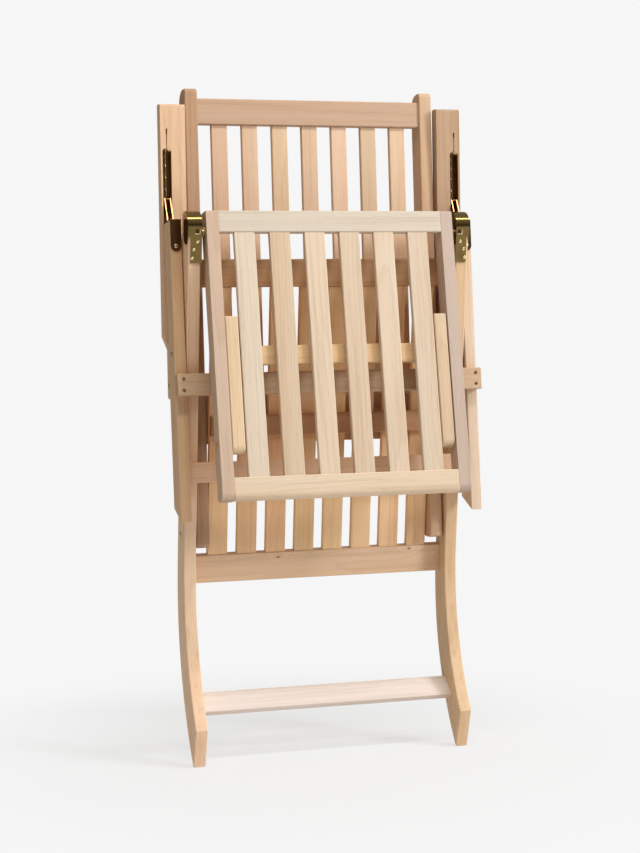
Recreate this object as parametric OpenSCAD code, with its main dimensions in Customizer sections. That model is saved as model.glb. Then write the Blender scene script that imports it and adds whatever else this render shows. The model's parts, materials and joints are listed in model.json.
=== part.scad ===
// Folding steamer deck chair with a fold-under footrest, shown folded and upright.
// The left and right halves mirror each other about X = 0. -Y is the side of the
// footrest, +Y is the side of the arms, and the tips of the rear feet touch Z = 0.

/* [Overall] */
// Width over the ends of the upper leg stretcher
overall_w = 600; // [580:2:640]
// Distance from the tips of the rear feet to the middle of the folded depth
mid_y = 36; // [30:1:42]
// Slope of the seat in use, rising to the front (degrees)
seat_rise = 11.2; // [10:0.1:12]

/* [Seat frame] */
// Thickness of a seat side across the chair
side_t = 24; // [22:0.5:25]
// Distance from the back pivot to the front face of a seat side
side_front = 30; // [28:0.5:32]
// Distance from the back pivot to the rear face of a seat side
side_rear = 22; // [20:0.5:24]
// Distance from the back pivot to the knee end of a seat side
knee_z = 612; // [600:1:625]
// Forward lean of the folded seat frame (degrees)
seat_lean = 5.56; // [5:0.1:6]
// Radius of the rear edge of the curved rear leg
rear_bend_r = 496; // [480:1:510]
// Angle of the bend at the rear edge of the rear leg (degrees)
rear_bend_a = 45.6; // [44:0.1:47]
// Length of the flat sole of a rear foot
sole_len = 79; // [74:1:84]
// Number of seat slats
seat_slats = 8; // [7:1:8]
// Width of a seat slat
seat_slat_w = 39.5; // [36:0.5:42]
// Height of the front seat rail
front_rail_h = 51; // [46:1:54]
// Height of the rear seat rail
rear_rail_h = 54; // [48:1:56]

/* [Back] */
// Thickness of a back stile across the chair
stile_t = 25; // [22:0.5:26]
// Backward lean of the folded back (degrees)
back_lean = 4.65; // [4.4:0.05:5]
// Distance from the pivot to the top of a back stile
stile_top = 846; // [830:1:860]
// Number of back slats
back_slats = 7; // [6:1:8]
// Width of a back slat
back_slat_w = 31.5; // [28:0.5:34]
// Height of the bottom rail of the back
back_low_rail_h = 95; // [80:1:100]

/* [Arms] */
// Width of an arm
arm_w = 48; // [44:1:50]
// Thickness of an arm
arm_t = 24; // [22:1:26]
// Distance from the arm pivot to the front end of an arm
arm_len = 532; // [520:1:540]
// Width of the slot under an arm
slot_w = 17; // [15:0.5:18]

/* [Front legs] */
// Thickness of a front leg across the chair
leg_t = 22; // [20:0.5:24]
// Depth of a front leg
leg_d = 50; // [46:1:52]
// Distance from the leg pivot down to the front corner of the foot
leg_foot_z = 309.8; // [305:0.1:314]
// Bevel of the front foot (degrees)
foot_bevel = 27.5; // [25:0.5:30]
// Distance from the leg pivot to the top end of the leg
leg_top_z = 250; // [245:1:252]

/* [Footrest] */
// Thickness of a footrest stile across the chair
foot_t = 24; // [22:0.5:25]
// Depth of a footrest stile
foot_d = 36; // [34:0.5:38]
// Lean of the folded footrest (degrees)
foot_lean = 11.9; // [11:0.1:12.5]
// Distance from the footrest hinge to its far end
foot_len = 501; // [490:1:510]
// Number of footrest slats
foot_slats = 6; // [5:1:6]
// Width of a footrest slat
foot_slat_w = 40; // [37:0.5:42]
// Length of a footrest leg from its pivot to its sole
foot_leg_len = 239; // [230:1:245]

/* [Hardware] */
// Radius of the pivot bolts
bolt_r = 4; // [3.5:0.1:4.5]
// Radial running clearance of the pivots
run = 0.05; // [0.03:0.01:0.08]

/* [Hidden] */

fine = 64;
eps = 0.01;

// Layers across the chair, from the outside in: each is [inner x, outer x].
half_w = overall_w / 2;
washer = 1.5;
leg_x = [half_w - washer - leg_t, half_w - washer];
side_x = [leg_x[0] - washer - side_t, leg_x[0] - washer];
stile_gap = 3;
stile_x = [side_x[0] - stile_gap - stile_t, side_x[0] - stile_gap];
arm_x = [half_w - arm_w, half_w];
foot_gap = 9.5;
foot_x = [side_x[0] - foot_gap - foot_t, side_x[0] - foot_gap];
foot_leg_t = 24.5;
foot_leg_x = [foot_x[0] - washer - foot_leg_t, foot_x[0] - washer];
slot_x = (leg_x[0] + leg_x[1]) / 2 + 0.5;

// Seat frame, in its own plane [y, z] from the back pivot.
front_bend_z = -37;
rear_bend_z = -62.5;
foot_tip = [side_rear - rear_bend_r * (1 - cos(rear_bend_a)),
            rear_bend_z - rear_bend_r * sin(rear_bend_a)];
foot_heel = foot_tip + sole_len * [-sin(seat_rise), cos(seat_rise)];
heel_off = [foot_heel[0] + side_front, foot_heel[1] - front_bend_z];
front_bend_r = -(heel_off * heel_off) / (2 * heel_off[0]);
front_bend_a = asin(-heel_off[1] / front_bend_r);
knee_r = 24;
rail_d = 22;
rail_y = side_rear - rail_d;
rear_rail_top = -40.5;
front_rail_top = 523;
front_rail_low = front_rail_top - front_rail_h;
housing = 12;
slat_t = 12;
slat_housing = 9;
seat_slat_y = rail_y + 3;
seat_slat_span = 2 * (stile_x[0] - 2);
batten_z = [191, 230];
batten_t = 16;
// The rear rail is relieved where the reclined stiles come down on it, at this angle.
relief_a = 47.3;
relief_gap = 0.5;
stretcher_at = [-71, -312];
stretcher_size = [46, 14];
stretcher_tilt = 36.5;

// Brackets that wrap the knee ends, in the seat's plane.
bracket_low = 521;
bracket_t = 2;
bracket_step = 4.4;
bracket_screw_at = [[side_x[0] + 7, 560], [side_x[0] + 14, 546], [side_x[0] + 17, 530]];
bracket_slot_x = [side_x[0] + 1.5, side_x[0] + 11];
bracket_slot_h = 9;

// Pivots: each is [y, z] in the frame that carries it.
back_pivot = [-foot_tip[0] * cos(seat_lean) + foot_tip[1] * sin(seat_lean),
              -foot_tip[0] * sin(seat_lean) - foot_tip[1] * cos(seat_lean)];
leg_pivot = [-9, 346.5];
foot_pivot = [-18, 578.5];
arm_pivot = [-6, 281.5];
foot_leg_pivot = [1, -400];
leg_lean = 6.8;
arm_lean = 2.6;

// Back, in its own plane from the back pivot.
back_front = 20.4;
back_rear = 26.6;
back_rail_y = -back_front + 5;
back_slat_y = -back_front + 11;
back_top_rail_z = [779, 828];
back_low_rail_z = [172, 172 + back_low_rail_h];
back_low_rail_y = -back_front + 12;

// Arm, from its pivot: the neck beside the back is narrower by arm_neck.
arm_end = -22;
arm_neck = 10;
neck_z = [71, 96];

// Arm slot, from the arm pivot along the arm.
slot_z = [296, 449];
kerf_end = 478;
kerf_w = 2;
kerf_hole_w = 3.4;
kerf_hole_z = [476, 487];
slot_r = 6;
slot_depth = arm_t - 5;
notch_z = [332, 354, 376, 398, 420, 436];

// Front legs, in their own plane from the leg pivot.
leg_front = 23;
leg_rear = leg_d - leg_front;
upper_z = [-77, -36];
lower_z = [-237.5, -199.6];
lower_y = [-9, 13];
stretcher_t = 22;
hook_at = [36.5, 297.4];
hook_pin_r = 2.5;
hook_screw_z = leg_top_z - 48;
stretcher_screw_z = [-46, -67];

// Footrest, in its own plane from its hinge.
foot_front = 16;
foot_rear = foot_d - foot_front;
foot_end = 36;
knee_rail_h = 40.5;
foot_rail_h = 43;
foot_rail_d = 20;
crossbar_z = [150, 186];
crossbar_y = [1, 15];

// ---- colours
timber = "#e3c39b";
pale_timber = "#ecd3b0";
warm_timber = "#d9b48a";
brass = "#b59a4e";

// ---- frames of reference
module in_seat() {
    translate([0, back_pivot[0] - mid_y, back_pivot[1]]) rotate([seat_lean, 0, 0]) children();
}
module in_back() {
    translate([0, back_pivot[0] - mid_y, back_pivot[1]]) rotate([-back_lean, 0, 0]) children();
}
module in_legs() {
    in_seat() translate([0, leg_pivot[0], leg_pivot[1]])
        rotate([-seat_lean - leg_lean, 0, 0]) children();
}
module in_arms() {
    in_back() translate([0, arm_pivot[0], arm_pivot[1]])
        rotate([back_lean - arm_lean, 0, 0]) children();
}
module in_footrest() {
    in_seat() translate([0, foot_pivot[0], foot_pivot[1]])
        rotate([-seat_lean - foot_lean, 0, 0]) children();
}
module in_foot_legs() {
    in_footrest() translate([0, foot_leg_pivot[0], foot_leg_pivot[1]]) children();
}
module on_side(side) {
    mirror([side < 0 ? 1 : 0, 0, 0]) children();
}

// ---- basic shapes
// A squared bar between two corners, each range given as [low, high].
module bar(x, y, z) {
    translate([x[0], y[0], z[0]]) cube([x[1] - x[0], y[1] - y[0], z[1] - z[0]]);
}
// A plate across x = [low, high] with the outline of points [y, z].
module plate(x, points) {
    translate([x[0], 0, 0]) rotate([90, 0, 90]) linear_extrude(x[1] - x[0]) polygon(points);
}
// A round rod along X at [y, z].
module rod(x, at, r) {
    translate([x[0], at[0], at[1]]) rotate([0, 90, 0]) cylinder(r = r, h = x[1] - x[0], $fn = fine);
}
// A screw that points along +Y from its head's face at [x, y, z].
module screw(at, head_r, shank_r, shank) {
    translate(at) rotate([-90, 0, 0]) {
        cylinder(r = head_r, h = 1.6, $fn = fine);
        translate([0, 0, 1.6 - eps]) cylinder(r = shank_r, h = shank, $fn = fine);
    }
}
// A pivot bolt along X: domed head outside, nut inside, and collars between the members.
module pivot_bolt(x_nut, x_head, collars) {
    rod([x_nut, x_head], [0, 0], bolt_r);
    rod([x_nut, x_nut + 4], [0, 0], bolt_r + 2.6);
    translate([x_head, 0, 0]) rotate([0, 90, 0]) {
        cylinder(r = 2 * bolt_r, h = 0.8, $fn = fine);
        translate([0, 0, 0.8 - eps])
            cylinder(r1 = 2 * bolt_r, r2 = 1.2 * bolt_r, h = 0.9, $fn = fine);
    }
    for (x = collars) rod(x, [0, 0], 2.2 * bolt_r);
}
// The bore for a pivot bolt, with a pocket for its nut at the inner face.
module bolt_bore(x, at, clear = run, nut = false) {
    rod([x[0] - 1, x[1] + 1], at, bolt_r + clear);
    if (nut) rod([x[0] - 1, x[0] + 5], at, bolt_r + 3.4);
}
// Points of an arc about c, from angle a0 to a1, in [y, z].
function arc(c, r, a0, a1, steps) =
    [for (i = [0:steps]) let (a = a0 + (a1 - a0) * i / steps) c + r * [cos(a), sin(a)]];
// Low edges of n strips of width w, spread evenly across a span centred on X = 0.
function strip_x(i, n, w, span) = -span / 2 + (i - 1) * (span - w) / (n - 1);
function gap_strip_x(i, n, w, span) =
    let (gap = (span - n * w) / (n + 1)) -span / 2 + gap * i + w * (i - 1);

// ---- seat
module seat_side(side) {
    knee = concat(
        arc([-side_front + knee_r, knee_z - knee_r], knee_r, 180, 90, 8),
        arc([side_rear - 10, knee_z - 10], 10, 90, 0, 4));
    rear_edge = arc([side_rear - rear_bend_r, rear_bend_z], rear_bend_r, 0, -rear_bend_a, 18);
    front_edge = arc([-side_front - front_bend_r, front_bend_z], front_bend_r,
                     -front_bend_a, 0, 18);
    color(timber) in_seat() on_side(side) difference() {
        plate(side_x, concat(knee, rear_edge, front_edge));
        rail_stub(front_rail_low, front_rail_top);
        rail_stub(rear_rail_top - rear_rail_h, rear_rail_top);
        rear_stretcher_bar();
        bolt_bore(side_x, [0, 0]);
        bolt_bore(side_x, leg_pivot, 0, true);
        rod([side_x[0] - 1, side_x[0] + 12], foot_pivot, bolt_r + run);
        bracket_slot([-side_front - 1, -side_front + 3]);
        for (s = bracket_screw_at)
            translate([s[0], -side_front - 1, s[1]]) rotate([-90, 0, 0])
                cylinder(r = 1.55, h = 13, $fn = fine);
    }
}
module bracket_slot(y) {
    bar(bracket_slot_x, y, [foot_pivot[1] - bracket_slot_h / 2, foot_pivot[1] + bracket_slot_h / 2]);
}
module rail_stub(low, high) {
    bar([side_x[0] - 1, side_x[0] + housing], [rail_y, side_rear + 1], [low, high]);
}
module seat_rail(low, high) {
    difference() {
        bar([-side_x[0] - housing, side_x[0] + housing], [rail_y, side_rear], [low, high]);
        for (i = [1:seat_slats]) seat_slat_bar(i);
    }
}
module seat_front_rail() {
    color(timber) in_seat() seat_rail(front_rail_low, front_rail_top);
}
module seat_rear_rail() {
    stop = back_rear + relief_gap;
    top = rear_rail_top + 1;
    back_y = side_rear + 1;
    relief = [[-(stop + top * cos(relief_a)) / sin(relief_a), top], [back_y, top],
              [back_y, -(stop + back_y * sin(relief_a)) / cos(relief_a)]];
    color(warm_timber) in_seat() difference() {
        seat_rail(rear_rail_top - rear_rail_h, rear_rail_top);
        for (side = [-1, 1]) on_side(side) plate([stile_x[0] - 1, side_x[0]], relief);
    }
}
module seat_slat_bar(i) {
    x = strip_x(i, seat_slats, seat_slat_w, seat_slat_span);
    bar([x, x + seat_slat_w], [seat_slat_y, seat_slat_y + slat_t],
        [rear_rail_top - slat_housing, front_rail_low + slat_housing]);
}
module seat_slat(i) {
    color(i % 2 == 0 ? timber : warm_timber) in_seat() seat_slat_bar(i);
}
module seat_batten() {
    color(pale_timber) in_seat()
        bar([-seat_slat_span / 2, seat_slat_span / 2], [seat_slat_y - batten_t, seat_slat_y],
            batten_z);
}
module rear_stretcher_bar() {
    translate([0, stretcher_at[0], stretcher_at[1]]) rotate([stretcher_tilt, 0, 0])
        bar([-side_x[0] - housing, side_x[0] + housing],
            [-stretcher_size[0] / 2, stretcher_size[0] / 2],
            [-stretcher_size[1] / 2, stretcher_size[1] / 2]);
}
module rear_stretcher() {
    color(pale_timber) in_seat() rear_stretcher_bar();
}

module footrest_bracket(side) {
    outer = concat(
        [[-side_front - bracket_t, bracket_low]],
        arc([-side_front + knee_r, knee_z - knee_r], knee_r + bracket_t, 180, 90, 8),
        [[4, knee_z + bracket_t], [4, knee_z]],
        arc([-side_front + knee_r, knee_z - knee_r], knee_r, 90, 180, 8),
        [[-side_front, bracket_low]]);
    cap = concat(
        [[-side_front - bracket_t, knee_z - 42]],
        arc([-side_front + knee_r, knee_z - knee_r], knee_r + bracket_t, 180, 90, 8),
        [[4, knee_z + bracket_t]],
        arc([-12, knee_z - 42], 16, 0, -90, 4),
        [[-side_front + 4, knee_z - 58]]);
    color(brass) in_seat() on_side(side) {
        difference() {
            plate([side_x[0] - 1.6, side_x[1] - bracket_step], outer);
            bracket_slot([-side_front - 4, -side_front + 1]);
            for (s = bracket_screw_at)
                translate([s[0], -side_front - 4, s[1]]) rotate([-90, 0, 0])
                    cylinder(r = 1.6, h = 6, $fn = fine);
        }
        plate([side_x[1], side_x[1] + 1.2], cap);
        difference() {
            plate([side_x[1] - bracket_step - eps, side_x[1] + 1.2], outer);
            bar([side_x[1] - 6, side_x[1] + 3], [-side_front - 4, -side_front + 6],
                [bracket_low - 1, knee_z - 42]);
        }
        difference() {
            plate([side_x[0] - 1.6, side_x[0]], cap);
            rod([side_x[0] - 3, side_x[0] + 1], foot_pivot, bolt_r + run);
        }
    }
}
module bracket_screws() {
    color(brass) in_seat() for (side = [-1, 1], s = bracket_screw_at) on_side(side)
        screw([s[0], -side_front - bracket_t - 1.6, s[1]], 3.2, 1.5, 12);
}
module leg_pivot_bolts() {
    color(brass) in_seat() for (side = [-1, 1]) on_side(side)
        translate([0, leg_pivot[0], leg_pivot[1]])
            pivot_bolt(side_x[0] + 0.5, leg_x[1] + 0.2, [[side_x[1], leg_x[0] - 0.3]]);
}

// ---- back
module back_stile(side) {
    front_r = 8;
    rear_r = 28;
    low_r = 20;
    outline = concat(
        arc([-back_front + front_r, stile_top - front_r], front_r, 180, 90, 4),
        arc([back_rear - rear_r, stile_top - rear_r], rear_r, 90, 0, 8),
        arc([back_rear - low_r, low_r - 24], low_r, 0, -90, 8),
        arc([-back_front + 9, 9 - 24], 9, -90, -180, 5));
    color(timber) in_back() on_side(side) difference() {
        plate(stile_x, outline);
        back_rail_bar(back_rail_y, back_top_rail_z);
        back_rail_bar(back_low_rail_y, back_low_rail_z);
        bolt_bore(stile_x, [0, 0], run, true);
        bolt_bore(stile_x, arm_pivot, run, true);
    }
}
module back_rail_bar(y, z) {
    bar([-stile_x[0] - housing, stile_x[0] + housing], [y, y + rail_d], z);
}
module back_top_rail() {
    color(warm_timber) in_back() difference() {
        back_rail_bar(back_rail_y, back_top_rail_z);
        for (i = [1:back_slats]) back_slat_bar(i);
    }
}
module back_bottom_rail() {
    color(warm_timber) in_back() difference() {
        back_rail_bar(back_low_rail_y, back_low_rail_z);
        for (i = [1:back_slats]) back_slat_bar(i);
    }
}
module back_slat_bar(i) {
    x = gap_strip_x(i, back_slats, back_slat_w, 2 * stile_x[0]);
    bar([x, x + back_slat_w], [back_slat_y, back_slat_y + slat_t],
        [back_low_rail_z[1] - slat_housing, back_top_rail_z[0] + slat_housing]);
}
module back_slat(i) {
    color(i % 2 == 0 ? pale_timber : timber) in_back() back_slat_bar(i);
}
module back_pivot_bolts() {
    color(brass) in_back() for (side = [-1, 1]) on_side(side)
        pivot_bolt(stile_x[0] + 0.5, side_x[1] + 0.1, [[stile_x[1] + 0.3, side_x[0] - 0.3]]);
}

// ---- arms
module arm(side) {
    half_t = arm_t / 2;
    end_r = 8;
    nose_r = 5;
    neck = [[arm_x[1] - arm_neck, arm_end - 1], [arm_x[1] + 1, arm_end - 1],
            [arm_x[1] + 1, neck_z[1]], [arm_x[1], neck_z[1]],
            [arm_x[1] - arm_neck, neck_z[0]]];
    color(timber) in_arms() on_side(side) difference() {
        plate(arm_x, concat(
            arc([-half_t + nose_r, arm_len - nose_r], nose_r, 180, 90, 4),
            arc([half_t - nose_r, arm_len - nose_r], nose_r, 90, 0, 4),
            arc([half_t - end_r, arm_end + end_r], end_r, 0, -90, 4),
            arc([-half_t + end_r, arm_end + end_r], end_r, -90, -180, 4)));
        translate([0, half_t + 1, 0]) rotate([90, 0, 0]) linear_extrude(arm_t + 2) polygon(neck);
        slot_cut();
        bolt_bore(arm_x, [0, 0]);
    }
}
module slot_cut() {
    floor_y = -arm_t / 2 + slot_depth;
    depth_y = [-arm_t / 2 - 1, floor_y];
    hole_r = kerf_hole_w / 2;
    bar([slot_x - slot_w / 2, slot_x + slot_w / 2], depth_y, [slot_z[0], slot_z[1] - slot_r]);
    for (s = [-1, 1]) translate([slot_x + s * (slot_w / 2 - slot_r), floor_y, slot_z[1] - slot_r])
        rotate([90, 0, 0]) cylinder(r = slot_r, h = arm_t, $fn = fine);
    bar([slot_x - slot_w / 2 + slot_r, slot_x + slot_w / 2 - slot_r], depth_y,
        [slot_z[1] - 2 * slot_r, slot_z[1]]);
    bar([slot_x - kerf_w / 2, slot_x + kerf_w / 2], depth_y, [slot_z[1] - 1, kerf_end]);
    for (z = [kerf_hole_z[0] + hole_r, kerf_hole_z[1] - hole_r])
        translate([slot_x, floor_y, z]) rotate([90, 0, 0]) cylinder(r = hole_r, h = arm_t, $fn = fine);
    bar([slot_x - hole_r, slot_x + hole_r], depth_y,
        [kerf_hole_z[0] + hole_r, kerf_hole_z[1] - hole_r]);
}
module arm_ratchet(side) {
    floor_y = -arm_t / 2 + slot_depth;
    edge_y = 0.2;
    color(brass) in_arms() on_side(side) difference() {
        bar([slot_x - kerf_w / 2, slot_x + kerf_w / 2], [edge_y, floor_y], [slot_z[0], kerf_hole_z[0]]);
        for (z = notch_z) rod([slot_x - 2, slot_x + 2], [edge_y, z], 3.6);
    }
}
module arm_pivot_bolts() {
    color(brass) in_arms() for (side = [-1, 1]) on_side(side)
        pivot_bolt(stile_x[0] + 0.5, arm_x[1] - arm_neck + 0.1,
                   [[stile_x[1] + 0.3, arm_x[0] - 0.3]]);
}

// ---- front legs
module front_leg(side) {
    bevel = leg_d * tan(foot_bevel);
    color(timber) in_legs() on_side(side) difference() {
        plate(leg_x, [[-leg_front, -leg_foot_z], [leg_rear, -leg_foot_z + bevel],
                      [leg_rear, leg_top_z], [-leg_front, leg_top_z]]);
        bolt_bore(leg_x, [0, 0]);
        bar([leg_x[0] - housing, leg_x[0] + housing], lower_y, lower_z);
        for (z = stretcher_screw_z) translate([slot_x, -leg_front - 1, z]) rotate([-90, 0, 0])
            cylinder(r = 2.05, h = 30, $fn = fine);
        translate([slot_x, -leg_front - 1, hook_screw_z]) rotate([-90, 0, 0])
            cylinder(r = 1.55, h = 13, $fn = fine);
    }
}
module leg_upper_stretcher() {
    color(pale_timber) in_legs() difference() {
        bar([-half_w, half_w], [-leg_front - stretcher_t, -leg_front], upper_z);
        for (side = [-1, 1], z = stretcher_screw_z) on_side(side)
            translate([slot_x, -leg_front - stretcher_t - 1, z]) rotate([-90, 0, 0]) {
                cylinder(r = 3.5, h = 7, $fn = fine);
                cylinder(r = 2.05, h = stretcher_t + 2, $fn = fine);
            }
    }
}
module stretcher_screws() {
    color(brass) in_legs() for (side = [-1, 1], z = stretcher_screw_z) on_side(side)
        screw([slot_x, -leg_front - stretcher_t + 4.4, z], 3.4, 2, 40);
}
module leg_lower_stretcher() {
    color(warm_timber) in_legs() bar([-leg_x[0] - housing, leg_x[0] + housing], lower_y, lower_z);
}
module leg_hook(side) {
    strap_x = [leg_x[0] + 0.5, leg_x[1] - 0.5];
    end_r = (strap_x[1] - strap_x[0]) / 2;
    t = 2;
    prong_w = 5.5;
    top = leg_top_z + t;
    dir = atan2(hook_at[1] - top, hook_at[0] - 20);
    prong = concat([[11, top - eps]],
                   arc(hook_at, prong_w, dir + 100, dir - 100, 10),
                   [[26, top - eps]]);
    color(brass) in_legs() on_side(side) {
        difference() {
            union() {
                bar(strap_x, [-leg_front - t, -leg_front], [hook_screw_z, top]);
                translate([strap_x[0] + end_r, -leg_front - t, hook_screw_z]) rotate([-90, 0, 0])
                    cylinder(r = end_r, h = t, $fn = fine);
            }
            translate([slot_x, -leg_front - t - 1, hook_screw_z]) rotate([-90, 0, 0])
                cylinder(r = 1.6, h = 6, $fn = fine);
        }
        bar(strap_x, [-leg_front - eps, leg_rear + t], [leg_top_z, top]);
        bar(strap_x, [leg_rear, leg_rear + t], [leg_top_z - 10, top]);
        for (x = [slot_x - 6.5, slot_x + 4.2]) plate([x, x + 2.3], prong);
        rod([slot_x - 6.4, slot_x + 6.4], hook_at, hook_pin_r);
    }
}
module hook_screws() {
    color(brass) in_legs() for (side = [-1, 1]) on_side(side)
        screw([slot_x, -leg_front - 3.6, hook_screw_z], 4, 1.5, 12);
}

// ---- footrest
module footrest_stile(side) {
    low_r = 16;
    outline = concat(
        arc([-foot_front + 3, foot_end - 3], 3, 180, 90, 3),
        arc([foot_rear - 3, foot_end - 3], 3, 90, 0, 3),
        arc([foot_rear - 8, -foot_len + 8], 8, 0, -90, 4),
        arc([-foot_front + low_r, -foot_len + low_r], low_r, -90, -180, 8));
    color(pale_timber) in_footrest() on_side(side) difference() {
        plate(foot_x, outline);
        foot_rail_bar([foot_end - knee_rail_h, foot_end]);
        foot_rail_bar([-foot_len, -foot_len + foot_rail_h]);
        rod([foot_x[0] + housing, foot_x[1] + 1], [0, 0], bolt_r);
        bolt_bore(foot_x, foot_leg_pivot, 0);
    }
}
module foot_rail_bar(z) {
    bar([-foot_x[0] - housing, foot_x[0] + housing], [-foot_front, -foot_front + foot_rail_d], z);
}
module footrest_knee_rail() {
    color(pale_timber) in_footrest() difference() {
        foot_rail_bar([foot_end - knee_rail_h, foot_end]);
        for (i = [1:foot_slats]) foot_slat_bar(i);
    }
}
module footrest_foot_rail() {
    nose = 12;
    color(pale_timber) in_footrest() difference() {
        foot_rail_bar([-foot_len, -foot_len + foot_rail_h]);
        for (i = [1:foot_slats]) foot_slat_bar(i);
        difference() {
            bar([-foot_x[0] - housing - 1, foot_x[0] + housing + 1],
                [-foot_front - 1, -foot_front + nose], [-foot_len - 1, -foot_len + nose]);
            rod([-foot_x[1], foot_x[1]], [-foot_front + nose, -foot_len + nose], nose);
        }
    }
}
module foot_slat_bar(i) {
    x = gap_strip_x(i, foot_slats, foot_slat_w, 2 * foot_x[0]);
    bar([x, x + foot_slat_w], [-foot_front + 2, -foot_front + 2 + slat_t],
        [-foot_len + foot_rail_h - slat_housing, foot_end - knee_rail_h + slat_housing]);
}
module footrest_slat(i) {
    color(i % 2 == 0 ? pale_timber : timber) in_footrest() foot_slat_bar(i);
}
module footrest_pins() {
    color(brass) in_footrest() for (side = [-1, 1]) on_side(side) {
        rod([foot_x[0] + housing + 0.5, side_x[0] + 11.5], [0, 0], bolt_r);
        rod([foot_x[1], foot_x[1] + 1.5], [0, 0], 8);
    }
}
module footrest_leg_bolts() {
    color(brass) in_foot_legs() for (side = [-1, 1]) on_side(side)
        pivot_bolt(foot_leg_x[0] + 0.5, foot_x[1], [[foot_leg_x[1] + 0.3, foot_x[0]]]);
}
module footrest_leg(side) {
    r = 15;
    color(pale_timber) in_foot_legs() on_side(side) difference() {
        plate(foot_leg_x, concat([[r, foot_leg_len], [-r, foot_leg_len]],
                                 arc([0, 0], r, 180, 360, 14)));
        bolt_bore(foot_leg_x, [0, 0], run, true);
        crossbar_bar();
    }
}
module crossbar_bar() {
    bar([-foot_leg_x[0] - housing, foot_leg_x[0] + housing], crossbar_y, crossbar_z);
}
module footrest_crossbar() {
    color(pale_timber) in_foot_legs() crossbar_bar();
}

// ---- every sub-part in its place
for (side = [[-1, "left"], [1, "right"]]) {
    s = side[0];
    seat_side(s);
    footrest_bracket(s);
    back_stile(s);
    arm(s);
    arm_ratchet(s);
    front_leg(s);
    leg_hook(s);
    footrest_stile(s);
    footrest_leg(s);
}
for (i = [1:seat_slats])
    seat_slat(i);
for (i = [1:back_slats])
    back_slat(i);
for (i = [1:foot_slats])
    footrest_slat(i);
seat_front_rail();
seat_rear_rail();
seat_batten();
rear_stretcher();
bracket_screws();
leg_pivot_bolts();
back_top_rail();
back_bottom_rail();
back_pivot_bolts();
arm_pivot_bolts();
leg_upper_stretcher();
leg_lower_stretcher();
stretcher_screws();
hook_screws();
footrest_knee_rail();
footrest_foot_rail();
footrest_pins();
footrest_leg_bolts();
footrest_crossbar();
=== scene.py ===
"""Looks of the folding steamer chair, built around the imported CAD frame.

Every wooden member is made again as a piece with softly rounded edges, in its own object whose
local Z runs along the grain, so that one procedural wood follows each board. The screws are
turned again with domed heads, and the other brass keeps its CAD shape with eased edges.
All lengths are in metres.
"""

import json
import math
import random

import bmesh
import bpy
from mathutils import Matrix, Vector


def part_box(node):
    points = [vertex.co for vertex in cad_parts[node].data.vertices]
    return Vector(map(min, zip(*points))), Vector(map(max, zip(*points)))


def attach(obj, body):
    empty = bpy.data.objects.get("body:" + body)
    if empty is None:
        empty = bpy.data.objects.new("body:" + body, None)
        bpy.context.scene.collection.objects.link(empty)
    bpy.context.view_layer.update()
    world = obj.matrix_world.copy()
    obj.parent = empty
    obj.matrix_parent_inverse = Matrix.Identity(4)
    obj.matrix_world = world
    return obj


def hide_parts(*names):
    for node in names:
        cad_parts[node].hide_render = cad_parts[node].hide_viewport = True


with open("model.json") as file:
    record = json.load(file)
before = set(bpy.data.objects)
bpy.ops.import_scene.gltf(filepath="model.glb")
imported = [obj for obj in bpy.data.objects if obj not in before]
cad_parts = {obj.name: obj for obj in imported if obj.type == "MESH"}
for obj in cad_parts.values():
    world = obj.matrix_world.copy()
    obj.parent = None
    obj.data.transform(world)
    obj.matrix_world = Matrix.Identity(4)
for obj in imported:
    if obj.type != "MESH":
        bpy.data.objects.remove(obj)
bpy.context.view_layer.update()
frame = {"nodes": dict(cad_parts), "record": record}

MM = 0.001
BODY_OF = {n: body for body, nodes in frame["record"]["behaviour"]["bodies"].items() for n in nodes}
SLOT_OF = {part["node"]: part["material_slot"] for part in frame["record"]["subparts"]}
SIDES = ("left", "right")


def sign(side):
    """-1 for the left side of the chair and 1 for the right."""
    return -1 if side == "left" else 1


# ---------------------------------------------------------------- reading the frame


def cad_bmesh(node):
    """The CAD node's mesh with its triangles joined back into flat faces."""
    bm = bmesh.new()
    bm.from_mesh(frame["nodes"][node].data)
    bmesh.ops.remove_doubles(bm, verts=bm.verts, dist=0.01 * MM)
    bmesh.ops.dissolve_limit(bm, angle_limit=math.radians(0.4), verts=bm.verts, edges=bm.edges)
    bm.verts.ensure_lookup_table()
    return bm


def lean_of(bm):
    """Tilt of a member about X: the direction in the YZ plane that most of its edges follow."""
    shortest, out_of_plane = 2 * MM, 0.01
    votes = {}
    for edge in bm.edges:
        d = edge.verts[1].co - edge.verts[0].co
        run = math.hypot(d.y, d.z)
        if run < shortest or abs(d.x) > out_of_plane * run:
            continue
        angle = math.degrees(math.atan2(d.y, d.z)) % 90
        exact = angle if angle <= 45 else angle - 90
        key = round(exact, 1)
        total, weighted = votes.get(key, (0, 0))
        votes[key] = (total + run, weighted + run * exact)
    total, weighted = max(votes.values())
    return math.radians(weighted / total)


def own_frame(node, bm, along=None):
    """A matrix whose Z runs along the member's grain, placed at the middle of the member.
    along names the direction of the grain: "x" across the chair, "y" through it or "z" up. It is
    the member's longest side if not given."""
    lean = lean_of(bm)
    across = Vector((1, 0, 0))
    depth = Vector((0, math.cos(lean), -math.sin(lean)))
    up = Vector((0, math.sin(lean), math.cos(lean)))
    spans = [max(v.co @ a for v in bm.verts) - min(v.co @ a for v in bm.verts)
             for a in (across, depth, up)]
    longest = spans.index(max(spans)) if along is None else "xyz".index(along)
    axes = [(depth, up, across), (up, across, depth), (across, depth, up)][longest]
    middle = Vector((0, 0, 0))
    for a in axes:
        reach = [v.co @ a for v in bm.verts]
        middle += a * (min(reach) + max(reach)) / 2
    return Matrix.Translation(middle) @ Matrix([[a[i] for a in axes] for i in range(3)]).to_4x4()


# ---------------------------------------------------------------- mesh helpers


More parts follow.
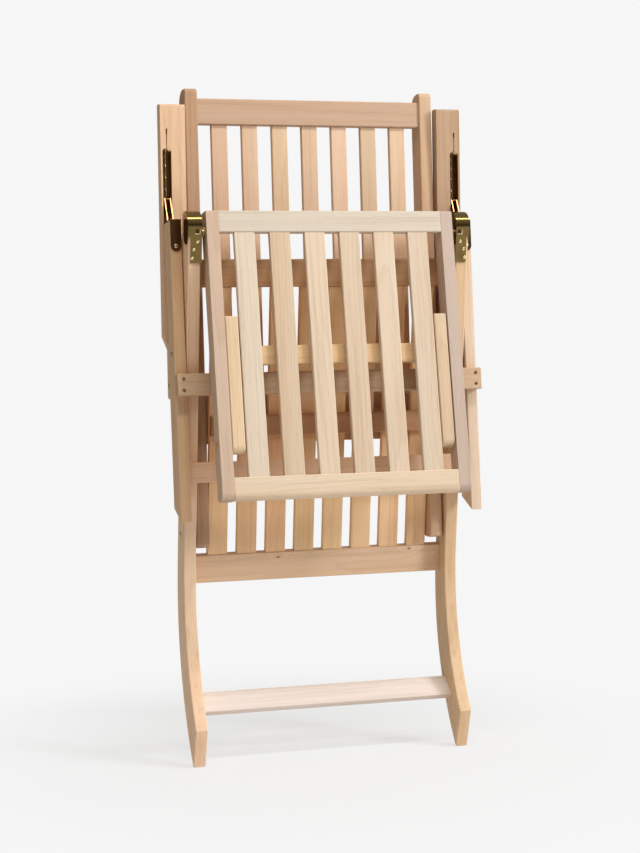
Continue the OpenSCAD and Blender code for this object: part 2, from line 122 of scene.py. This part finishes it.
def to_object(bm, name, matrix=Matrix.Identity(4), sharp=40, ease=0):
    """A shown object from a bmesh, smooth but for edges sharper than that many degrees.
    ease is the width of a fine bevel along those edges."""
    mesh = bpy.data.meshes.new(name)
    bmesh.ops.recalc_face_normals(bm, faces=bm.faces)
    for face in bm.faces:
        face.smooth = True
    bm.to_mesh(mesh)
    bm.free()
    mesh.set_sharp_from_angle(angle=math.radians(sharp))
    obj = bpy.data.objects.new(name, mesh)
    bpy.context.scene.collection.objects.link(obj)
    obj.matrix_world = matrix
    if ease:
        modifier = obj.modifiers.new("eased", "BEVEL")
        modifier.width = ease
        modifier.segments = 2
        modifier.limit_method = "ANGLE"
        modifier.angle_limit = math.radians(sharp)
    modifier = obj.modifiers.new("even_faces", "WEIGHTED_NORMAL")
    modifier.keep_sharp = True
    return obj


def soften(bm, edges, radius, segments=3):
    """Rounds those edges, and marks the rounding in the attribute "wear", which the wood reads."""
    wear = bm.verts.layers.float.get("wear") or bm.verts.layers.float.new("wear")
    made = bmesh.ops.bevel(bm, geom=edges, offset=radius, offset_type="OFFSET", segments=segments,
                           profile=0.5, affect="EDGES", clamp_overlap=True)
    rounding = set(made["faces"])
    for vert in made["verts"]:
        vert[wear] = 1.0 if all(f in rounding for f in vert.link_faces) else 0.0
    return rounding


def corners(bm):
    """The edges where the shape turns, as against those along a curved face."""
    return [e for e in bm.edges if e.calc_face_angle(0) > math.radians(24)]


def place(obj, node, material):
    """The object stands for that CAD node, and rides on its body."""
    obj.data.materials.clear()
    obj.data.materials.append(material)
    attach(obj, BODY_OF[node])
    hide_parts(node)
    return obj


def outer_loop(bm, side):
    """Corner points of the member's outline, from its face that looks away from the middle."""
    reach = max(side * v.co.x for v in bm.verts)
    near = 0.05 * MM
    cap = {f for f in bm.faces if all(abs(side * v.co.x - reach) < near for v in f.verts)}
    rim = [e for e in bm.edges if len([f for f in e.link_faces if f in cap]) == 1]
    loops = []
    while rim:
        edge = rim.pop()
        loop = [edge.verts[0], edge.verts[1]]
        while loop[-1] is not loop[0]:
            step = next(e for e in rim if loop[-1] in e.verts)
            rim.remove(step)
            loop.append(step.other_vert(loop[-1]))
        loops.append(loop[:-1])

    def spread(loop):
        return max(v.co.z for v in loop) - min(v.co.z for v in loop)

    loop = [v.co.copy() for v in max(loops, key=spread)]
    straight = math.radians(0.3)
    kept = []
    for i, here in enumerate(loop):
        before = here - loop[i - 1]
        after = loop[(i + 1) % len(loop)] - here
        if before.angle(after) > straight:
            kept.append(here)
    return kept


def plate_member(node, material, radius):
    """A board cut to an outline: the CAD outline across the CAD thickness, with rounded edges."""
    source = cad_bmesh(node)
    side = 1 if source.verts[0].co.x > 0 else -1
    matrix = own_frame(node, source)
    inner = min(abs(v.co.x) for v in source.verts) * side
    outline = outer_loop(source, side)
    source.free()
    back = matrix.inverted()
    bm = bmesh.new()
    outer_ring = [bm.verts.new(back @ p) for p in outline]
    inner_ring = [bm.verts.new(back @ Vector((inner, p.y, p.z))) for p in outline]
    bm.faces.new(outer_ring)
    bm.faces.new(inner_ring)
    for i in range(len(outline)):
        j = (i + 1) % len(outline)
        bm.faces.new((outer_ring[i], outer_ring[j], inner_ring[j], inner_ring[i]))
    bmesh.ops.recalc_face_normals(bm, faces=bm.faces)
    soften(bm, corners(bm), radius)
    return place(to_object(bm, node + ".timber", matrix), node, material)


def bar_member(node, material, radius, shown_half=None, nose=0):
    """A squared board with rounded edges, as wide and thick as its CAD node.
    shown_half leaves out the hidden tenons beyond that distance from the middle of the board.
    nose is the larger radius of the lower front edge, where it has one."""
    source = cad_bmesh(node)
    matrix = own_frame(node, source)
    back = matrix.inverted()
    points = [back @ v.co for v in source.verts]
    source.free()
    size = [2 * max(abs(p[i]) for p in points) for i in range(3)]
    if shown_half is not None:
        size[2] = min(size[2], 2 * shown_half)
    bm = bmesh.new()
    bmesh.ops.create_cube(bm, size=1)
    bmesh.ops.scale(bm, vec=size, verts=bm.verts)
    if nose:
        def low_and_front(edge):
            middle = matrix @ ((edge.verts[0].co + edge.verts[1].co) / 2)
            return middle.y + middle.z

        bmesh.ops.bevel(bm, geom=[min(bm.edges, key=low_and_front)], offset=nose,
                        offset_type="OFFSET", segments=8, profile=0.5, affect="EDGES")
    soften(bm, corners(bm), radius)
    return place(to_object(bm, node + ".timber", matrix), node, material)


def carved_member(node, material, radius, crisp):
    """The CAD shape itself with its outer edges rounded.
    crisp(point) is true where an edge stays sharp."""
    source = cad_bmesh(node)
    matrix = own_frame(node, source)
    source.transform(matrix.inverted())
    shortest, turned = 1.2 * MM, math.radians(20)
    edges = [e for e in source.edges if e.calc_face_angle_signed(0) > turned
             and e.calc_length() > shortest
             and not crisp(matrix @ ((e.verts[0].co + e.verts[1].co) / 2))]
    soften(source, edges, radius)
    return place(to_object(source, node + ".timber", matrix), node, material)


# ---------------------------------------------------------------- node helpers


class Shader:
    """A material's node tree with short names for what this script uses."""

    def __init__(self, name):
        self.material = bpy.data.materials.new(name)
        self.material.use_nodes = True
        self.tree = self.material.node_tree
        self.principled = self.tree.nodes["Principled BSDF"]

    def link(self, value, socket):
        if isinstance(value, bpy.types.NodeSocket):
            self.tree.links.new(value, socket)
        else:
            socket.default_value = value

    def math(self, operation, a, b=0.0, clamp=False):
        node = self.tree.nodes.new("ShaderNodeMath")
        node.operation = operation
        node.use_clamp = clamp
        self.link(a, node.inputs[0])
        self.link(b, node.inputs[1])
        return node.outputs[0]

    def vector(self, operation, a, b=(0, 0, 0)):
        node = self.tree.nodes.new("ShaderNodeVectorMath")
        node.operation = operation
        self.link(a, node.inputs[0])
        self.link(b, node.inputs[1])
        return node.outputs["Value" if operation in ("LENGTH", "DISTANCE") else "Vector"]

    def noise(self, where, stretch, detail=2.0, roughness=0.5):
        """Noise from 0 to 1, with that many cycles per metre along each axis."""
        node = self.tree.nodes.new("ShaderNodeTexNoise")
        self.link(self.vector("MULTIPLY", where, stretch), node.inputs["Vector"])
        node.inputs["Scale"].default_value = 1.0
        node.inputs["Detail"].default_value = detail
        node.inputs["Roughness"].default_value = roughness
        return node.outputs["Fac"]

    def spread(self, value, low, high, to_low=0.0, to_high=1.0, smooth=False):
        node = self.tree.nodes.new("ShaderNodeMapRange")
        node.interpolation_type = "SMOOTHSTEP" if smooth else "LINEAR"
        self.link(value, node.inputs["Value"])
        node.inputs["From Min"].default_value = low
        node.inputs["From Max"].default_value = high
        node.inputs["To Min"].default_value = to_low
        node.inputs["To Max"].default_value = to_high
        return node.outputs[0]

    def mix(self, amount, a, b, blend="MIX"):
        node = self.tree.nodes.new("ShaderNodeMix")
        node.data_type = "RGBA"
        node.blend_type = blend
        self.link(amount, node.inputs[0])
        self.link(a, node.inputs[6])
        self.link(b, node.inputs[7])
        return node.outputs[2]

    def grey(self, value):
        node = self.tree.nodes.new("ShaderNodeCombineColor")
        for i in range(3):
            self.link(value, node.inputs[i])
        return node.outputs[0]

    def bump(self, height, strength, distance):
        node = self.tree.nodes.new("ShaderNodeBump")
        node.inputs["Strength"].default_value = strength
        node.inputs["Distance"].default_value = distance
        self.link(height, node.inputs["Height"])
        self.link(node.outputs[0], self.principled.inputs["Normal"])


def linear(red, green, blue):
    """A colour given as it looks on screen, 0 to 255, as the linear values that a shader takes."""
    return tuple((c / 255 / 12.92 if c <= 10 else ((c / 255 + 0.055) / 1.055) ** 2.4)
                 for c in (red, green, blue)) + (1.0,)


# ---------------------------------------------------------------- wood


KNOT_TONE = (112, 72, 42)


def shade_of(tone, red, green, blue):
    """That tone with each of its parts scaled, as linear values."""
    return linear(*(min(255, part * scale) for part, scale in zip(tone, (red, green, blue))))


def wood(name, tone, seed, knots=()):
    """Oiled pale hardwood with its grain along the object's own Z.
    Each knot is a place in the object's own axes."""
    dice = random.Random(seed)
    s = Shader("wood_" + name)
    coords = s.tree.nodes.new("ShaderNodeTexCoord")
    here = coords.outputs["Object"]
    offset = tuple(dice.uniform(-5, 5) for _ in range(3))
    there = s.vector("ADD", here, offset)

    # Growth rings round a pith beside the board, bent by slow waves along its length.
    slow, sway = (5, 5, 1.6), 22 * MM
    bend = s.tree.nodes.new("ShaderNodeCombineXYZ")
    for i, where in enumerate((there, s.vector("ADD", there, (3.1, 1.7, 9.2)))):
        s.link(s.spread(s.noise(where, slow, 2.0), 0, 1, -sway, sway), bend.inputs[i])
    away = dice.uniform(0.03, 0.12)
    turn = dice.uniform(0, 2 * math.pi)
    pith = (away * math.cos(turn), away * math.sin(turn), 0)
    flat = s.vector("MULTIPLY", s.vector("ADD", here, bend.outputs[0]), (1, 1, 0))
    rings = s.vector("DISTANCE", flat, pith)
    spots = None
    for knot in knots:
        # Pin knots are drawn out along the grain, and the rings swell round them.
        apart = s.vector("MULTIPLY", s.vector("SUBTRACT", here, knot), (1, 1, 0.55))
        distance = s.vector("LENGTH", apart)
        swell = s.spread(distance, 0.0, 16 * MM, 6 * MM, 0.0, smooth=True)
        rings = s.math("ADD", rings, swell)
        spot = s.spread(distance, 1.0 * MM, 2.6 * MM, 1.0, 0.0, smooth=True)
        spots = spot if spots is None else s.math("MAXIMUM", spots, spot)
    ring_width = dice.uniform(0.0030, 0.0048)
    phase = s.math("ADD", s.math("DIVIDE", rings, ring_width),
                   s.noise(there, (40, 40, 3), 2.0))
    # Each year darkens slowly towards its late wood, and then ends at once.
    year = s.math("FRACT", phase)
    late = s.math("POWER", year, 3.0)
    late = s.math("MULTIPLY", late, s.spread(year, 0.93, 1.0, 1.0, 0.0))

    # Cycles per metre across and along the grain.
    streaks = s.noise(there, (110, 110, 2.2), 3.0, 0.6)
    bands = s.noise(there, (34, 34, 0.9), 2.0)
    fibres = s.noise(there, (1300, 1300, 22), 2.0, 0.6)
    pores = s.spread(s.noise(there, (900, 900, 34), 1.0), 0.66, 0.74, 0.0, 1.0, smooth=True)

    base = linear(*tone)
    dark = shade_of(tone, 0.82, 0.75, 0.67)
    warm = shade_of(tone, 0.98, 0.93, 0.88)
    pale = shade_of(tone, 1.04, 1.04, 1.03)
    colour = s.mix(s.spread(bands, 0.35, 0.70, 0.0, 0.55, smooth=True), base, warm)
    colour = s.mix(s.spread(streaks, 0.45, 0.78, 0.0, 0.40, smooth=True), colour, dark)
    colour = s.mix(s.math("MULTIPLY", late, 0.26), colour, dark)
    shade = s.spread(fibres, 0.2, 0.8, 0.93, 1.04)
    shade = s.math("MULTIPLY", shade, s.spread(pores, 0, 1, 1.0, 0.84))
    colour = s.mix(1.0, colour, s.grey(shade), "MULTIPLY")

    # End grain drinks more oil and looks darker, and worn edges are a little paler.
    split = s.tree.nodes.new("ShaderNodeSeparateXYZ")
    s.link(coords.outputs["Normal"], split.inputs[0])
    end = s.spread(s.math("ABSOLUTE", split.outputs[2]), 0.75, 0.95, 0.0, 1.0, smooth=True)
    colour = s.mix(s.math("MULTIPLY", end, 0.45), colour, dark)
    edge = s.tree.nodes.new("ShaderNodeAttribute")
    edge.attribute_name = "wear"
    worn = s.math("MULTIPLY", edge.outputs["Fac"], s.spread(streaks, 0.3, 0.7, 0.05, 0.35))
    colour = s.mix(worn, colour, pale)
    if spots is not None:
        colour = s.mix(s.math("MULTIPLY", spots, 0.85), colour, linear(*KNOT_TONE))
    s.link(colour, s.principled.inputs["Base Color"])
    rough = s.math("ADD", s.spread(fibres, 0.2, 0.8, 0.50, 0.62), s.math("MULTIPLY", pores, 0.15))
    s.link(rough, s.principled.inputs["Roughness"])
    s.principled.inputs["IOR"].default_value = 1.42
    height = s.math("SUBTRACT", s.math("MULTIPLY", fibres, 0.5), s.math("MULTIPLY", pores, 1.0))
    height = s.math("SUBTRACT", height, s.math("MULTIPLY", late, 0.35))
    s.bump(height, 0.35, 0.12 * MM)
    return s.material


# ---------------------------------------------------------------- brass


def brass(name, tone, rough):
    """Lacquered brass with brushed lines and faint stains."""
    s = Shader(name)
    coords = s.tree.nodes.new("ShaderNodeTexCoord")
    here = coords.outputs["Object"]
    brushed = s.noise(here, (2600, 2600, 120), 2.0)
    stains = s.noise(here, (60, 60, 60), 3.0, 0.6)
    dull = shade_of(tone, 0.80, 0.74, 0.62)
    tint = s.mix(s.spread(stains, 0.45, 0.80, 0.0, 0.6, smooth=True), linear(*tone), dull)
    s.link(tint, s.principled.inputs["Base Color"])
    s.principled.inputs["Metallic"].default_value = 1.0
    worn = s.math("ADD", s.spread(stains, 0.3, 0.8, rough, rough + 0.06),
                  s.spread(brushed, 0.2, 0.8, -0.02, 0.04))
    s.link(worn, s.principled.inputs["Roughness"])
    s.bump(brushed, 0.10, 0.02 * MM)
    return s.material


BRASS = brass("brass_bright", (234, 212, 162), 0.22)
# The plates' brass is darker as painted shade, for the dim surroundings that their flat fronts
# reflect.
SHADED_PLATE_BRASS = brass("brass_plate_painted_shade", (136, 114, 68), 0.13)
# The hooks' brass is redder as a painted reflection of the wood round them.
HOOK_BRASS_WOOD_REFLECTION = brass("brass_hook_painted_reflection", (152, 108, 72), 0.16)
# The screws' brass is palest as a painted highlight on their rims.
HIGHLIGHT_SCREW_BRASS = brass("brass_screw_painted_highlight", (246, 228, 180), 0.20)
# Dark brass for the slot's lining: painted shade of the deep slot.
SLOT_SHADE_BRASS = brass("brass_slot_painted_shade", (148, 112, 66), 0.30)
# Darkest brass, for the sheet in the bracket's opening: painted shade.
POCKET_SHADE_BRASS = brass("brass_pocket_painted_shade", (84, 62, 38), 0.35)

# ---------------------------------------------------------------- the wooden members

EDGE = 2.6 * MM
SLAT_EDGE = 2.2 * MM
# Each board is cut from another plank, so each has a tone of its own: red, green and blue of the
# sound wood as it looks in even light. The seat's front rail and batten are darker than that, as
# painted shade from the footrest in front of them.
BACK_SLATS = ((220, 183, 152), (225, 191, 160), (225, 195, 160), (223, 191, 160), (232, 198, 167),
              (218, 186, 152), (230, 198, 164))
SEAT_SLATS = ((252, 211, 161), (247, 205, 157), (251, 207, 161), (244, 205, 156), (251, 211, 159),
              (242, 201, 152), (249, 207, 161), (244, 203, 154))
FOOTREST_SLATS = ((223, 205, 182), (214, 189, 159), (225, 205, 180), (217, 193, 165),
                  (223, 202, 176), (217, 197, 172))
PLATES = {
    "seat_side_left": ((244, 210, 175), 11), "seat_side_right": ((230, 196, 155), 12),
    "back_stile_left": ((188, 152, 120), 13), "back_stile_right": ((211, 175, 139), 14),
    "front_leg_left": ((220, 182, 142), 15), "front_leg_right": ((226, 202, 176), 16),
    "footrest_stile_left": ((206, 179, 154), 17), "footrest_stile_right": ((198, 175, 157), 18),
    "footrest_leg_left": ((233, 208, 173), 19), "footrest_leg_right": ((219, 192, 160), 20),
}
BARS = {
    # The seat's front rail and batten have darker tones as painted shade behind the footrest.
    "seat_front_rail": ((204, 162, 118), 31), "seat_rear_rail": ((232, 197, 161), 32),
    "seat_batten": ((194, 148, 108), 33), "rear_stretcher": ((233, 218, 207), 34),
    "back_top_rail": ((200, 167, 139), 35), "back_bottom_rail": ((211, 175, 139), 36),
    "leg_lower_stretcher": ((220, 180, 145), 37), "footrest_knee_rail": ((213, 199, 180), 38),
    "footrest_foot_rail": ((226, 203, 174), 39), "footrest_crossbar": ((226, 191, 143), 40),
}
# Pin knots, from the middle of the board: depth, height and distance along the grain.
KNOTS = {"seat_rear_rail": ((-0.011, 0.017, -0.081), (-0.011, 0.021, 0.187))}
for node, (tone, seed) in PLATES.items():
    plate_member(node, wood(node, tone, seed), EDGE)
# The footrest's stiles lap over the ends of its two rails. The foot rail has a round nose.
FOOTREST_OPENING = abs(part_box("footrest_stile_left")[1].x)
FOOT_NOSE = 12 * MM
for node, (tone, seed) in BARS.items():
    lapped = node in ("footrest_knee_rail", "footrest_foot_rail")
    bar_member(node, wood(node, tone, seed, KNOTS.get(node, ())), EDGE,
               FOOTREST_OPENING + 1 * MM if lapped else None,
               FOOT_NOSE if node == "footrest_foot_rail" else 0)
for part, tones in (("seat", SEAT_SLATS), ("back", BACK_SLATS), ("footrest", FOOTREST_SLATS)):
    for i, tone in enumerate(tones):
        node = f"{part}_slat_{i + 1}"
        bar_member(node, wood(node, tone, 50 + 10 * len(part) + i), SLAT_EDGE)

ARM_TONES = {"left": (230, 194, 158), "right": (190, 156, 124)}


def in_slot(side):
    """Tells whether a point is at the slot under that arm."""
    low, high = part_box("arm_ratchet_" + side)
    middle = (low.x + high.x) / 2
    half, beyond = 9 * MM, 1 * MM

    def inside(point):
        return abs(point.x - middle) < half and low.z - beyond < point.z < high.z + beyond

    return inside


for side in SIDES:
    node = "arm_" + side
    carved_member(node, wood(node, ARM_TONES[side], 45 + sign(side)), EDGE, in_slot(side))
carved_member("leg_upper_stretcher", wood("leg_upper_stretcher", (206, 174, 140), 48), EDGE,
              lambda point: False)

# ---------------------------------------------------------------- brass parts


def separate_solids(node):
    """Lists the points of each separate solid in that CAD node, in the same order every time."""
    bm = cad_bmesh(node)
    seen = set()
    solids = []
    for start in bm.verts:
        if start in seen:
            continue
        seen.add(start)
        group = [start]
        for vert in group:  # which grows as it is walked
            for edge in vert.link_edges:
                other = edge.other_vert(vert)
                if other not in seen:
                    seen.add(other)
                    group.append(other)
        solids.append([v.co.copy() for v in group])
    bm.free()
    return solids


HEAD_HEIGHT = 1.62 * MM
RECESS_DEPTH = 0.8 * MM
# Shares of the head's radius: the points and the inner corners of the driver recess, and the
# flat top of the head.
RECESS_ARM = 0.62
RECESS_ROOT = 0.20
HEAD_CROWN = 0.64


def axis_of(points):
    """The direction along which a turned part's points reach the furthest, and their middle."""
    middle = sum(points, Vector()) / len(points)
    axis = (max(points, key=lambda p: (p - middle).length) - middle).normalized()
    for _ in range(40):  # settles on the main axis long before this
        axis = sum(((p - middle) * (p - middle).dot(axis) for p in points), Vector()).normalized()
    return axis, middle


def lathe(bm, profile, matrix, turns):
    """A turned solid about Z. profile lists (height, radius), and radius may be a function of
    the angle."""
    rings = []
    for height, radius in profile:
        ring = []
        for i in range(turns):
            a = 2 * math.pi * i / turns
            r = radius(a) if callable(radius) else radius
            ring.append(bm.verts.new(matrix @ Vector((r * math.cos(a), r * math.sin(a), height))))
        rings.append(ring)
    for low, high in zip(rings, rings[1:]):
        for i in range(turns):
            bm.faces.new((low[i - 1], low[i], high[i], high[i - 1]))
    bm.faces.new(rings[0])
    bm.faces.new(list(reversed(rings[-1])))


def cross(arm, root):
    """Radius of a four-pointed driver recess."""
    quarter, half_width = math.pi / 2, 0.30
    return lambda a: arm if abs((a + quarter / 2) % quarter - quarter / 2) < half_width else root


def domed(radius, low, high, crown, steps=5):
    """Profile of a domed head from its rim at low to its top at high, flat out to crown."""
    rim = 0.25 * (high - low)
    shoulder = radius * 0.99
    points = [(low, radius * 0.97), (low + rim * 0.5, radius), (low + rim, shoulder)]
    for i in range(1, steps + 1):
        a = math.pi / 2 * i / steps
        points.append((low + rim + (high - low - rim) * math.sin(a),
                       crown + (shoulder - crown) * math.cos(a)))
    return points


def screws(node, material, turns=48):
    """The screws of that node made again with domed heads and driver recesses, as large as their
    CAD solids."""
    bm = bmesh.new()
    for points in separate_solids(node):
        axis, middle = axis_of(points)
        rings = [((p - middle).dot(axis), p - middle) for p in points]
        rings = [(h, (away - axis * h).length) for h, away in rings]
        head = max(r for _, r in rings)
        low, high = min(h for h, _ in rings), max(h for h, _ in rings)
        widest = [h for h, r in rings if r > head * 0.99]
        if high - max(widest) > min(widest) - low:
            axis, low, high = -axis, -high, -low
            rings = [(-h, r) for h, r in rings]
        shank = max(r for h, r in rings if h < low + 0.05 * MM)
        rim = high - HEAD_HEIGHT
        recess = cross(RECESS_ARM * head, RECESS_ROOT * head)
        profile = [(low, shank * 0.8), (low + 0.4 * MM, shank), (rim, shank)]
        profile += domed(head, rim, high, HEAD_CROWN * head)
        profile += [(high - 0.02 * MM, recess), (high - RECESS_DEPTH, recess),
                    (high - RECESS_DEPTH * 1.02, lambda a, recess=recess: recess(a) * 0.5)]
        matrix = Matrix.Translation(middle) @ axis.to_track_quat("Z", "X").to_matrix().to_4x4()
        lathe(bm, profile, matrix, turns)
    return place(to_object(bm, node + ".turned", sharp=35), node, material)


for node in ("bracket_screws", "hook_screws", "stretcher_screws"):
    screws(node, HIGHLIGHT_SCREW_BRASS)


def plates(node, name, metal, boxes, matrix, ease):
    """Thin plates in one object that rides with that CAD node. Each is given by its low and high
    corner along the axes of matrix."""
    bm = bmesh.new()
    for low, high in boxes:
        low, high = Vector(low), Vector(high)
        made = bmesh.ops.create_cube(bm, size=1)["verts"]
        bmesh.ops.scale(bm, vec=high - low, verts=made)
        bmesh.ops.translate(bm, vec=(high + low) / 2, verts=made)
    obj = to_object(bm, f"{node}.{name}", matrix, ease=ease)
    obj.data.materials.append(metal)
    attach(obj, BODY_OF[node])


def slot_lining(side):
    """The bent sheet in the arm's slot, on both sides of the notched plate and behind it. Its dark
    brass is painted shade of the deep slot.
    """
    node = "arm_ratchet_" + side
    source = cad_bmesh(node)
    matrix = own_frame(node, source, "z")
    source.free()
    half, sheet = 8.45 * MM, 0.5 * MM  # across the slot
    deep, mouth = 3.35 * MM, -12.4 * MM  # into the arm
    low, high, straight = -89.4 * MM, 62.4 * MM, 56.5 * MM  # along the slot
    plates(node, "lining", SLOT_SHADE_BRASS, (
        ((-half, deep - sheet, low), (half, deep, high)),
        ((-half, mouth, low), (sheet - half, deep, straight)),
        ((half - sheet, mouth, low), (half, deep, straight)),
    ), matrix, 0.12 * MM)


def bracket_pocket(side):
    """A dark sheet on the ground of the opening in the footrest's bracket as painted shade, and a
    bright lip along the opening as a painted highlight.
    """
    node = "footrest_bracket_" + side
    source = cad_bmesh(node)
    matrix = own_frame(node, source, "z")
    back = matrix.inverted()
    points = [back @ v.co for v in source.verts]
    source.free()
    # The opening's corners are the only points of the front plate that lie between its edges,
    # apart from those of the screws' holes further down.
    front = min(p.y for p in points)
    margin, opening_height = 1 * MM, 9.2 * MM
    low_x = min(p.x for p in points) + margin
    high_x = max(p.x for p in points) - margin
    inner = [p for p in points if p.y < front + 0.01 * MM and low_x < p.x < high_x]
    square = [p for p in inner if p.z > max(q.z for q in inner) - opening_height]
    left, low = (min(p[i] for p in square) for i in (0, 2))
    right, high = (max(p[i] for p in square) for i in (0, 2))
    thick, lip, ease = 2 * MM, 1.5 * MM, 0.1 * MM
    edge = front + 0.15 * MM
    ground = front + thick - 0.3 * MM
    rear = front + thick - 0.05 * MM
    # The dark sheet on the opening's ground is painted shade.
    plates(node, "pocket", POCKET_SHADE_BRASS, (((left, ground, low), (right, rear, high)),),
           matrix, ease)
    # The lip in the palest brass is a painted highlight along the opening's edge.
    plates(node, "lip", HIGHLIGHT_SCREW_BRASS, (
        ((left, edge, low), (right, ground, low + lip)),
        ((right - lip, edge, low + lip), (right, ground, high)),
    ), matrix, ease)


for side in SIDES:
    slot_lining(side)
    bracket_pocket(side)

# The other brass keeps its CAD shape, with its edges eased.
BRASS_EDGE = 0.35 * MM
for node in (n for n, slot in SLOT_OF.items() if slot == "brass" and not n.endswith("_screws")):
    metal = HOOK_BRASS_WOOD_REFLECTION if "hook" in node else SHADED_PLATE_BRASS if "bracket" in node else BRASS
    place(to_object(cad_bmesh(node), node + ".eased", ease=BRASS_EDGE), node, metal)

# ---------------------------------------------------------------- stage, light and camera

# Brightness of the surroundings as they are seen.
BACKDROP = 0.925
# Strength of the even light from below and from above, and how much more of it comes from behind.
FILL_LOW = 0.06
FILL_HIGH = 0.42
FILL_BEHIND = 1.15
FILL_TINT = (1.0, 0.95, 0.87)
KEY_TINT = (0.95, 0.985, 1.05)


def make_floor():
    """A pale floor that melts into the pale surroundings away from the chair."""
    bm = bmesh.new()
    bmesh.ops.create_circle(bm, cap_ends=True, radius=40, segments=96)
    mesh = bpy.data.meshes.new("floor")
    bm.to_mesh(mesh)
    bm.free()
    obj = bpy.data.objects.new("floor", mesh)
    bpy.context.scene.collection.objects.link(obj)
    s = Shader("floor_paper")
    coords = s.tree.nodes.new("ShaderNodeTexCoord")
    here = coords.outputs["Object"]
    speck = s.noise(here, (400, 400, 400), 2.0)
    paper = s.mix(speck, (0.80, 0.80, 0.80, 1), (0.83, 0.83, 0.83, 1))
    s.link(paper, s.principled.inputs["Base Color"])
    s.principled.inputs["Roughness"].default_value = 0.9
    glow = s.tree.nodes.new("ShaderNodeEmission")
    glow.inputs["Color"].default_value = (BACKDROP, BACKDROP, BACKDROP, 1)
    # The chair's shadow shows near its feet, and fades out by about a metre away.
    far = s.spread(s.vector("LENGTH", here), 0.3, 0.95, 0.7, 1.0, smooth=True)
    rays = s.tree.nodes.new("ShaderNodeLightPath")
    far = s.math("MULTIPLY", far, rays.outputs["Is Camera Ray"])
    blend = s.tree.nodes.new("ShaderNodeMixShader")
    s.link(far, blend.inputs[0])
    s.link(s.principled.outputs[0], blend.inputs[1])
    s.link(glow.outputs[0], blend.inputs[2])
    output = s.tree.nodes["Material Output"]
    s.link(blend.outputs[0], output.inputs["Surface"])
    mesh.materials.append(s.material)


def make_world():
    """Pale surroundings for the eye, and a dimmer even light for the chair."""
    world = bpy.data.worlds.new("pale_studio")
    bpy.context.scene.world = world
    world.use_nodes = True
    nodes, links = world.node_tree.nodes, world.node_tree.links
    seen = nodes["Background"]
    seen.inputs["Color"].default_value = (1, 1, 1, 1)
    seen.inputs["Strength"].default_value = BACKDROP
    lit = nodes.new("ShaderNodeBackground")
    lit.inputs["Color"].default_value = (*FILL_TINT, 1)
    coords = nodes.new("ShaderNodeTexCoord")
    split = nodes.new("ShaderNodeSeparateXYZ")
    links.new(coords.outputs["Generated"], split.inputs[0])
    product = nodes.new("ShaderNodeMath")
    product.operation = "MULTIPLY"
    for i, (axis, *ends) in enumerate(((2, -0.1, 0.9, FILL_LOW, FILL_HIGH),
                                       (1, -0.35, 0.35, 1.0, FILL_BEHIND))):
        ramp = nodes.new("ShaderNodeMapRange")
        ramp.interpolation_type = "SMOOTHSTEP"
        for name, value in zip(("From Min", "From Max", "To Min", "To Max"), ends):
            ramp.inputs[name].default_value = value
        links.new(split.outputs[axis], ramp.inputs["Value"])
        links.new(ramp.outputs[0], product.inputs[i])
    links.new(product.outputs[0], lit.inputs["Strength"])
    rays = nodes.new("ShaderNodeLightPath")
    blend = nodes.new("ShaderNodeMixShader")
    links.new(rays.outputs["Is Camera Ray"], blend.inputs[0])
    links.new(lit.outputs[0], blend.inputs[1])
    links.new(seen.outputs[0], blend.inputs[2])
    links.new(blend.outputs[0], nodes["World Output"].inputs["Surface"])


def soft_light(name, at, target, size, power, tint=(1, 1, 1)):
    """A rectangular light of that size in metres and power in watts, turned to the target."""
    data = bpy.data.lights.new(name, "AREA")
    data.shape = "RECTANGLE"
    data.size, data.size_y = size
    data.energy = power
    data.color = tint
    obj = bpy.data.objects.new(name, data)
    bpy.context.scene.collection.objects.link(obj)
    obj.location = at
    obj.rotation_euler = (Vector(target) - Vector(at)).to_track_quat("-Z", "Y").to_euler()


def make_camera():
    """The camera stands to the left of the chair's front and looks slightly down."""
    stand = (-1.1463, -3.6171, 0.9570)
    yaw, pitch, roll = (math.radians(a) for a in (17.402, 4.901, 0.213))
    data = bpy.data.cameras.new("camera")
    data.sensor_width = 36.0
    data.lens = 84.41
    data.clip_end = 100
    obj = bpy.data.objects.new("camera", data)
    bpy.context.scene.collection.objects.link(obj)
    level = Matrix.Rotation(-yaw, 4, "Z") @ Matrix.Rotation(math.pi / 2 - pitch, 4, "X")
    obj.matrix_world = Matrix.Translation(stand) @ level @ Matrix.Rotation(-roll, 4, "Z")
    bpy.context.scene.camera = obj


make_floor()
make_world()
# A broad light from the right, and a narrow one overhead whose reflection runs along the brass.
soft_light("key", (6.9, -5.6, 4.6), (0, 0, 0.5), (2.2, 2.2), 520, KEY_TINT)
soft_light("top", (0.5, -1.6, 4.0), (0.5, 0, 0.6), (4.4, 0.3), 95)
make_camera()
bpy.context.scene.view_settings.view_transform = "Standard"
